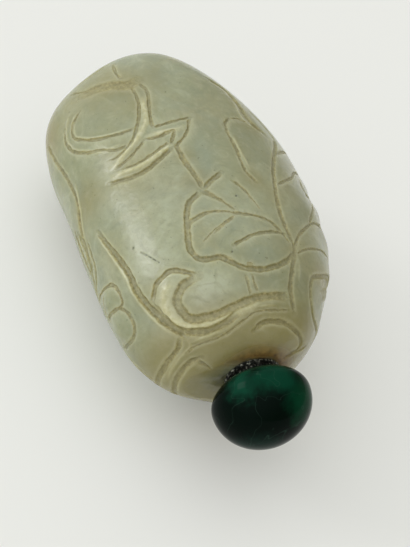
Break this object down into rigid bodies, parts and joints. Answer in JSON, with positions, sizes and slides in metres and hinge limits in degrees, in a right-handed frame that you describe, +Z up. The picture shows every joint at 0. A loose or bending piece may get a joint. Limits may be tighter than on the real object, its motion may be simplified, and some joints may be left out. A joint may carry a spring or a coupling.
{
  "type": "snuff bottle",
  "caption": "Hollow pebble-shaped snuff bottle of pale green jade, carved with leaves, scrolls and a ribbon bow, lying on its back with a domed dark green stopper.",
  "frame": {"origin": "middle of the underside of the bounding box, on the surface that the bottle lies on", "axes": "+Z up through the carved front; +Y along the bottle from the stopper to the foot; +X across the bottle"},
  "size_m": [0.043, 0.0728, 0.0308],
  "materials": {
    "jade": "polished, with a brown skin in the cuts",
    "green_stone": "high polish",
    "dark_metal": "tarnished",
    "cork": "raw"
  },
  "bodies": {
    "root": {"bottle": "jade", "stopper_cap": "green_stone", "stopper_collar": "dark_metal", "stopper_cork": "cork"}
  },
  "joints": []
}
